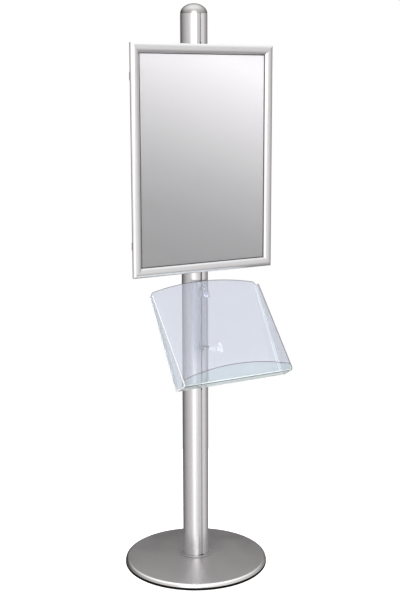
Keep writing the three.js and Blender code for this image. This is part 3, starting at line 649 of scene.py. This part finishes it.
def filler_strip(name, start, end, turn=0.0):
    half = SLOT_HALF - GAP
    back = LIP_BACK - GAP
    face = STRIP_RECESS - FACET
    outline = rounded([
        (-STRIP_WING, 1 - back, 0.2), (STRIP_WING, 1 - back, 0.2), (STRIP_WING, -back, 0.3), (half, -back),
        (half, face, 0.5), (0, face + 0.25, 1), (-half, face, 0.5), (-half, -back), (-STRIP_WING, -back, 0.3),
    ])
    shape = placed(prism(outline, start, end), Matrix.Rotation(turn, 4, "Z"))
    piece(f"{name}_strip", shape, "stand", "slot_filler_grey", FILLER, name)


filler_strip("slot_filler_lower", *STRIP_LOW)
filler_strip("slot_filler_upper", *STRIP_HIGH)
filler_strip("slot_filler_rear", *STRIP_REAR, math.pi)

AT_SET_SCREW = (
    Matrix.Rotation(math.pi / 4, 4, "Z") @ Matrix.Translation((POST_RADIUS, 0, SET_SCREW_HEIGHT))
    @ Matrix.Rotation(math.pi / 2, 4, "Y")
)
piece("set_screw", placed(socket_screw(5, 2.2, 3, 20, 1.6), AT_SET_SCREW),
      "stand", "zinc_plated", ZINC, "post_set_screw")

# ---------- snap frame ----------
SIDES = ("bottom", "right", "top", "left")
MITRE_GAP = 0.225


def mitred(section, side):
    """A section in (inwards, forwards), run along one side with a mitre at both ends."""
    length, other = (FRAME_HEIGHT, FRAME_WIDTH) if side % 2 else (FRAME_WIDTH, FRAME_HEIGHT)
    shape = placed(prism(section, MITRE_GAP, length - MITRE_GAP, slant=1.0), ALONG_X)
    place = Matrix.Rotation(side * math.pi / 2, 4, "Z") @ Matrix.Translation((-length / 2, -other / 2, 0))
    return placed(shape, IN_FRAME @ place)


HALF_PROFILE = PROFILE_WIDTH / 2
SHEET = 1.5
outer_bow = [(u + HALF_PROFILE, v) for u, v in bow(HALF_PROFILE, PROFILE_EDGE, PROFILE_TOP, 32)]
inner_bow = [
    (u + HALF_PROFILE, v) for u, v in bow(HALF_PROFILE - SHEET, PROFILE_EDGE, PROFILE_TOP - SHEET, 24)
]
snap_section = rounded([
    (0, HINGE_DEPTH, 0.3), (SHEET, HINGE_DEPTH, 0.3), *inner_bow[1:-1],
    (PROFILE_WIDTH - SHEET, HINGE_DEPTH, 0.3), (PROFILE_WIDTH, HINGE_DEPTH, 0.3), *reversed(outer_bow),
], 0, 2)
back_section = rounded([
    (0.5, 0, 0.4), (9, 0), (9.4, 0.35), (10, 0.35), (10.4, 0), (25, 0), (25.4, 0.35), (26, 0.35), (26.4, 0),
    (36, 0, 0.4), (36, 2, 0.4), (16, 2, 0.3), (16, 5.5, 0.2), (14.5, 5.5, 0.2), (14.5, 2, 0.3), (2.5, 2, 0.3),
    (2.5, 5.7, 0.2), (0.5, 5.7, 0.2),
], 0, 2)
for side, name in enumerate(SIDES):
    metal = ANODISED["z" if side % 2 else "x"]
    piece(f"back_profile_{name}", mitred(back_section, side), "poster_frame", "anodised_silver", metal,
          f"frame_back_{name}")
    piece(f"snap_profile_{name}", mitred(snap_section, side), f"snap_{name}", "anodised_silver", metal,
          f"frame_snap_{name}")

# a soft dark lip under the inner edge of each front profile bears on the cover sheet: painted shade, a dark
# strip that stands in for the shade line along the profile's inner edge
shade_lip_section = rounded([
    (34.5, 5.76), (40.6, 5.76, 0.2), (40.2, 6.5, 0.4), (37.2, 7.2, 0.2), (37.2, 5.95), (34.5, 5.95),
])
for side, name in enumerate(SIDES):
    piece(f"painted_shade_lip_{name}", mitred(shade_lip_section, side), f"snap_{name}", "rubber_black", SHADE_LIP)

panel_low, panel_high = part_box("frame_back_panel")
panel_outline = rounded([
    (x * 1000 * panel_high.x, y * 1000 * (panel_high.z - panel_low.z) / 2, 4)
    for x, y in ((-1, -1), (1, -1), (1, 1), (-1, 1))
], 0, 6)
piece("backing_sheet", placed(prism(panel_outline, 2.3, 3.9), IN_FRAME),
      "poster_frame", "backing_white", BACKING, "frame_back_panel", bevel=0.4)

RAIL_BACK = -5.3
rail_half = FRAME_WIDTH / 2 - 1
POST_FACE = FACET + GAP
for level, height in RAIL_HEIGHTS.items():
    up = height - FRAME_MIDDLE
    rail = rounded([
        (up - 15, RAIL_BACK, 1), (up - 5, RAIL_BACK), (up - 4.5, RAIL_BACK + 0.5),
        (up + 4.5, RAIL_BACK + 0.5), (up + 5, RAIL_BACK), (up + 15, RAIL_BACK, 1), (up + 15, -GAP, 0.6),
        (up - 15, -GAP, 0.6),
    ])
    piece(f"crossbar_{level}", placed(prism(rail, -rail_half, rail_half), IN_FRAME @ ALONG_X),
          "poster_frame", "anodised_silver", ANODISED["x"], f"frame_rail_{level}", bevel=0.3)
    block = rounded([(x * 22, up + y * 17, 3) for x, y in ((-1, -1), (1, -1), (1, 1), (-1, 1))], 0, 6)
    piece(f"spacer_block_{level}", placed(
        prism(block, POST_FACE - FRAME_BACK, RAIL_BACK - GAP), IN_FRAME,
    ), "poster_frame", "black_plastic", BLACK, f"frame_spacer_{level}", bevel=0.8)
    for sign, hand in ((-1, "left"), (1, "right")):
        place = IN_FRAME @ Matrix.Translation((sign * (FRAME_WIDTH / 2 - 8), up, RAIL_BACK - GAP))
        place = place @ Matrix.Rotation(math.pi, 4, "X")
        piece(f"crossbar_screw_{level}_{hand}", placed(socket_screw(4, 2.2, 2, 7, 1.3), place),
              "poster_frame", "zinc_plated", ZINC, f"frame_rail_screw_{level}_{hand}")

# ---------- leaflet tray ----------
SHEET_HALF = TRAY_HALF - TRAY_SHEET - GAP  # half of the folded sheet, between the cheeks
FOOT = -TRAY_LENGTH
FOLD = FOOT + TRAY_BEND
CORNER = 24
CROWN_EDGE = 19
CROWN_MIDDLE = 43
LIP_EDGE = 27
LIP_MIDDLE = 60
FLANGE = 11
RIM_STRIP = 1.7  # width of the painted dark line (painted shade) along the cut edges
BACK_ID, END_ID, FRONT_ID, RIM_ID = range(4)


def on_bow(x, half, edge, middle):
    rise = middle - edge
    radius = (half ** 2 + rise ** 2) / (2 * rise)
    return middle - radius + math.sqrt(radius ** 2 - x ** 2)


def crown(x):
    """Height of the back sheet's top edge: a shallow bow with a rounded corner at each end."""
    past = abs(x) - (SHEET_HALF - CORNER)
    if past <= 0:
        return on_bow(x, SHEET_HALF - CORNER, CROWN_EDGE, CROWN_MIDDLE)
    return CROWN_EDGE - CORNER + math.sqrt(max(0.0, CORNER ** 2 - past ** 2))


def folded_sheet():
    """Back, floor and front lip, folded from one sheet."""
    corner = [SHEET_HALF - CORNER + CORNER * math.sin(math.radians(a)) for a in range(0, 91, 9)]
    middle = [(SHEET_HALF - CORNER) * (i / 20 - 1) for i in range(1, 40)]
    columns = [-x for x in reversed(corner)] + middle + corner
    points, faces, ids = [], [], []
    for x in columns:
        top, lip = crown(x), FOOT + on_bow(x, SHEET_HALF, LIP_EDGE, LIP_MIDDLE)
        for reach, back, front in ((TRAY_BEND, -TRAY_SHEET, TRAY_DEPTH),
                                   (TRAY_BEND - TRAY_SHEET, 0, TRAY_DEPTH - TRAY_SHEET)):
            path = [(top, back), (top - RIM_STRIP, back), ((top + FOLD) / 2, back)]
            path += arc(FOLD, TRAY_BEND - TRAY_SHEET, reach, -90, -180, 12)
            path += arc(FOLD, TRAY_DEPTH - TRAY_BEND, reach, -180, -270, 12)
            path += [(lip - RIM_STRIP, front), (lip, front)]
            points += [(x, up, out) for up, out in path]
    rows = len(path)
    for i in range(len(columns) - 1):
        for k in range(rows - 1):
            for face in (0, rows):
                a = i * 2 * rows + face + k
                faces.append([a, a + 1, a + 1 + 2 * rows, a + 2 * rows])
                ids.append(RIM_ID if k in (0, rows - 2) else BACK_ID if k < 3 else FRONT_ID)
        for k in (0, rows - 1):
            a = i * 2 * rows + k
            faces.append([a, a + 2 * rows, a + 3 * rows, a + rows])
            ids.append(RIM_ID)
    for i in (0, len(columns) - 1):
        for k in range(rows - 1):
            a = i * 2 * rows + k
            faces.append([a, a + 1, a + 1 + rows, a + rows])
            ids.append(END_ID)
    return points, faces, ids


# the back panel gets the painted shade and veil copy, the sheet's ends the painted highlight copy, the rim
# strips the painted dark-line copy, and the folds, floor and front lip the plain acrylic
piece("tray_folded_sheet", placed(folded_sheet(), IN_TRAY),
      "tray", "clear_acrylic", [CLEAR_SHADE_AND_VEIL, CLEAR_PAINTED_HIGHLIGHT, CLEAR, CLEAR_PAINTED_DARK_LINE], "tray_sheet", bevel=0.5)

cheek = [
    (0, -TRAY_SHEET, 1), *arc(FOLD, TRAY_BEND - TRAY_SHEET, TRAY_BEND, -90, -180, 14),
    *arc(FOLD, TRAY_DEPTH - TRAY_BEND, TRAY_BEND, -180, -270, 14), (-7, 16, 6), (0, 13, 6),
]
cheek_outline = rounded(cheek, 0, 6)
# the bonded flange that joins each cheek to the back sheet
flange = rounded([(FOLD + 2, 0.05, 0.3), (-2, 0.05, 0.3), (-2, 2.4, 1.0), (FOLD + 2, 2.4, 1.0)])
# per side: where the cheek and its flange run along x, then for each the material of its two end faces
# and that of the faces round it
# the left cheek takes the lighter and highlight copies of the acrylic, the right cheek the shaded and
# dark-line copies: painted light and painted shade
inside = TRAY_HALF - TRAY_SHEET
TRAY_SIDES = {
    "left": ((-TRAY_HALF, -inside), (0.2 - inside, FLANGE - inside),
             [CLEAR_PAINTED_LIGHTER, CLEAR_PAINTED_HIGHLIGHT], [CLEAR_PAINTED_LIGHTER, CLEAR_SHADE_AND_VEIL]),
    "right": ((inside, TRAY_HALF), (inside - FLANGE, inside - 0.2),
              [CLEAR_SHADE_AND_VEIL, CLEAR_PAINTED_DARK_LINE], [CLEAR_PAINTED_HIGHLIGHT, CLEAR_PAINTED_LIGHTER]),
}
for hand, (cheek_span, flange_span, cheek_looks, flange_looks) in TRAY_SIDES.items():
    piece(f"tray_cheek_{hand}", placed(prism(cheek_outline, *cheek_span, side=1), IN_TRAY @ ALONG_X),
          "tray", "clear_acrylic", cheek_looks, f"tray_side_{hand}", bevel=0.5)
    piece(f"tray_flange_{hand}", placed(prism(flange, *flange_span, side=1), IN_TRAY @ ALONG_X),
          "tray", "clear_acrylic", flange_looks, bevel=0.6)

for up, level in ((28, "upper"), (7, "lower")):
    place = IN_TRAY @ Matrix.Translation((0, up, GAP))
    piece(f"tray_fixing_{level}", placed(socket_screw(4.5, 2.5, 2, 13, 1.5), place),
          "tray", "zinc_plated", ZINC, f"tray_screw_{level}")


def behind_sheet(up, behind):
    return (
        up * math.sin(TRAY_TILT) + behind * math.cos(TRAY_TILT) - TRAY_FRONT,
        up * math.cos(TRAY_TILT) - behind * math.sin(TRAY_TILT) + TRAY_TOP,
    )


low, high = behind_sheet(-30, TRAY_SHEET + GAP), behind_sheet(36, TRAY_SHEET + GAP)
wedge = rounded([(-POST_FACE, low[1], 1), (*low, 1), (*high, 1), (-POST_FACE, high[1], 1)])
piece("tray_wedge_block", placed(prism(wedge, -17, 17), ALONG_X),
      "tray", "clear_acrylic", CLEAR_BLOCK, "tray_wedge", bevel=0.5)

arm_over = smooth_line([(-POST_FACE, 954), (-60, 962), (-70, 966), (-82, 967), (-100, 967)])
arm_under = smooth_line([(-100, 962), (-84, 962), (-72, 960), (-64, 954), (-57, 940)])
arm = placed(prism([*arm_over, (-138, 967), (-138, 962), *arm_under, (-POST_FACE, 940)], -6, 6), ALONG_X)
neck = bar((-SLOT_HALF + GAP, SLOT_HALF - GAP), (-POST_FACE - 1, 1 - LIP_BACK), (940, 952), 0.5)
tee = bar((0.5 - CHANNEL_HALF, CHANNEL_HALF - 0.5), (GAP - LIP_BACK, 5 - LIP_BACK), (936, 956), 1)
piece("support_arm", together(arm, neck, tee), "tray", "black_plastic", BLACK, "tray_arm", bevel=0.7)

PIN = (-180, 972)
FORK_HALF = 8
FORK_SLOT_HALF = 2.9
fork_cheek = rounded([
    (-122, 958, 2), (-122, 971, 2), (-166, 978.5), (-183, 979.5, 3), (-188, 976, 3), (-188, 968, 3),
    (-183, 964, 3), (-160, 958),
], 1, 4)
fork_root = rounded([(-122, 958, 2), (-122, 971, 2), (-160, 977.5), (-160, 958)], 0.5, 4)
piece("arm_fork", together(
    placed(prism(fork_cheek, -FORK_HALF, -FORK_SLOT_HALF), ALONG_X),
    placed(prism(fork_cheek, FORK_SLOT_HALF, FORK_HALF), ALONG_X),
    placed(prism(fork_root, -FORK_SLOT_HALF, FORK_SLOT_HALF), ALONG_X),
), "tray", "white_plastic", WHITE_GLOWING, "tray_arm_fork", bevel=0.6)

ACROSS = Matrix.Translation((0, *PIN)) @ Matrix.Rotation(math.pi / 2, 4, "Y")
piece("arm_pin", placed(lathe(
    [(0, -9.5), (1.7, -9.5), (2.2, -9), (2.2, 8.2), (2.9, 8.3), (2.9, 9.2), (2.6, 9.5), (0, 9.5)], 40,
), ACROSS), "tray", "brass", BRASS, "tray_arm_pin")

pin_ahead, pin_above = PIN[0] + TRAY_FRONT, PIN[1] - TRAY_TOP
pin_up = pin_ahead * math.sin(TRAY_TILT) + pin_above * math.cos(TRAY_TILT)
pin_out = pin_above * math.sin(TRAY_TILT) - pin_ahead * math.cos(TRAY_TILT)
pad_front = -(TRAY_SHEET + GAP)
pad_back = pad_front - 4
foot_pad = placed(prism(
    rounded([(x * 7, pin_up + y * 21, 4) for x, y in ((-1, -1), (1, -1), (1, 1), (-1, 1))], 0, 6),
    pad_back, pad_front,
), IN_TRAY)
lug = [(pin_up - 8, pad_back), (pin_up - 5.5, pad_back - 3, 2),
       *arc(pin_up, pin_out, 5.5, 180, 360, 14), (pin_up + 5.5, pad_back - 3, 2), (pin_up + 8, pad_back)]
piece("arm_foot", together(
    foot_pad, placed(prism(rounded(lug), -2.5, 2.5), IN_TRAY @ ALONG_X),
), "tray", "white_plastic", WHITE_GLOWING, "tray_arm_foot", bevel=0.5)

# ---------- CAD nodes that keep their shape ----------
KEPT = {
    "base_plate": RAW_STEEL, "post_spigot": RAW_STEEL, "cap_insert": BLACK, "poster": POSTER,
    "cover_sheet": COVER,
}
for name, node in nodes.items():
    if node.hide_render:
        continue
    made = KEPT.get(name, ZINC)
    node.data.materials.clear()
    node.data.materials.append(made)

# ---------- floor, light ----------
floor_mesh = bpy.data.meshes.new("floor")
FLOOR_RADIUS = 1.5
FLOOR_HEIGHT = -0.0005  # just under the pad
floor_ring = [(x, y, FLOOR_HEIGHT) for x, y in arc(0, 0, FLOOR_RADIUS, 0, 360, 96)[:-1]]
floor_mesh.from_pydata(floor_ring, [], [list(range(96))])
floor = bpy.data.objects.new("floor", floor_mesh)
scene.collection.objects.link(floor)
pale = shader("studio_floor", (0.8, 0.8, 0.8), 0.9, 0.0, Emission_Color=(1, 1, 1, 1), Emission_Strength=0.75)
floor_mesh.materials.append(pale)
floor.visible_glossy = False
floor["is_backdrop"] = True


def softbox(name, place, target, size, power):
    data = bpy.data.lights.new(name, "AREA")
    data.shape = "RECTANGLE"
    data.size, data.size_y = size
    data.energy = power
    made = bpy.data.objects.new(name, data)
    scene.collection.objects.link(made)
    made.location = place
    made.rotation_euler = (Vector(target) - Vector(place)).to_track_quat("-Z", "Y").to_euler()


softbox("key", (-1.9, -4.6, 3.4), (0, 0, 1.2), (1.6, 2.2), 76)

world = bpy.data.worlds.new("studio")
scene.world = world
world.use_nodes = True
tree = world.node_tree
tree.nodes.clear()
direction = tree.nodes.new("ShaderNodeTexCoord")
WARM = (0.965, 0.95)  # green and blue of the greys, as shares of their red


def along(value, vector):
    """How far a direction points along a vector."""
    node = tree.nodes.new("ShaderNodeVectorMath")
    node.operation = "DOT_PRODUCT"
    node.inputs[1].default_value = vector
    tree.links.new(value, node.inputs[0])
    return node.outputs["Value"]


def level_toward(vector):
    """How far the direction points along a level vector, whatever its height."""
    flatten = tree.nodes.new("ShaderNodeVectorMath")
    flatten.operation = "MULTIPLY"
    flatten.inputs[1].default_value = (1, 1, 0)
    level = tree.nodes.new("ShaderNodeVectorMath")
    level.operation = "NORMALIZE"
    tree.links.new(direction.outputs["Generated"], flatten.inputs[0])
    tree.links.new(flatten.outputs["Vector"], level.inputs[0])
    return along(level.outputs["Vector"], vector.normalized())


def ramp_of(value, stops):
    """Warm greys at the stops, each a place and a level."""
    node = tree.nodes.new("ShaderNodeValToRGB")
    elements = node.color_ramp.elements
    while len(elements) < len(stops):
        elements.new(0.5)
    for element, (where, level) in zip(elements, stops):
        element.position = where
        element.color = (level, level * WARM[0], level * WARM[1], 1)
    tree.links.new(value, node.inputs["Fac"])
    return node.outputs["Color"]


def part_way(value, start, end):
    """0 where the value is start, and 1 where it is end."""
    amount = node_of(world, "ShaderNodeMapRange", From_Min=start, From_Max=end)
    tree.links.new(value, amount.inputs["Value"])
    return amount.outputs["Result"]


def mixed(factor, a, b):
    """a where the factor is 0, b where it is 1. Each is a colour's socket, or a grey level."""
    mix = tree.nodes.new("ShaderNodeMix")
    mix.data_type = "RGBA"
    sockets = {s.identifier: s for s in mix.inputs}
    tree.links.new(factor, sockets["Factor_Float"])
    for name, value in (("A_Color", a), ("B_Color", b)):
        if isinstance(value, float):
            sockets[name].default_value = (value, value, value, 1)
        else:
            tree.links.new(value, sockets[name])
    return {s.identifier: s for s in mix.outputs}["Result_Color"]


# grey from the camera's side round to dark behind the object, a little brighter on its right
around = ramp_of(part_way(level_toward(-ahead_flat + 0.25 * aside), -1.0, 1.0), (
    (0.0, 0.03), (0.08, 0.1), (0.16, 0.19), (0.28, 0.31), (0.4, 0.43), (0.56, 0.57), (0.75, 0.68),
    (0.86, 0.8), (0.98, 0.88),
))
# a tall white screen behind the camera
screen = mixed(part_way(level_toward(-ahead_flat - 0.16 * aside), 0.957, 0.99), around, 1.6)
height = along(direction.outputs["Generated"], (0, 0, 1))
sky = mixed(part_way(height, 0.34, 0.74), screen, 0.95)
ceiling = mixed(part_way(height, 0.74, 0.95), sky, 1.5)
surround = mixed(part_way(height, -0.3, -0.9), ceiling, 0.25)
light_path = tree.nodes.new("ShaderNodeLightPath")
shown = mixed(light_path.outputs["Is Transmission Ray"], surround, 1.0)
shown = mixed(part_way(light_path.outputs["Glossy Depth"], 0.4, 0.6), shown, surround)
shown = mixed(light_path.outputs["Is Camera Ray"], shown, 1.0)
background = tree.nodes.new("ShaderNodeBackground")
output = tree.nodes.new("ShaderNodeOutputWorld")
tree.links.new(shown, background.inputs["Color"])
tree.links.new(background.outputs[0], output.inputs["Surface"])

low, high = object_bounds()
{"cad": [list(cad_low), list(cad_high)], "visual": [list(low), list(high)]}
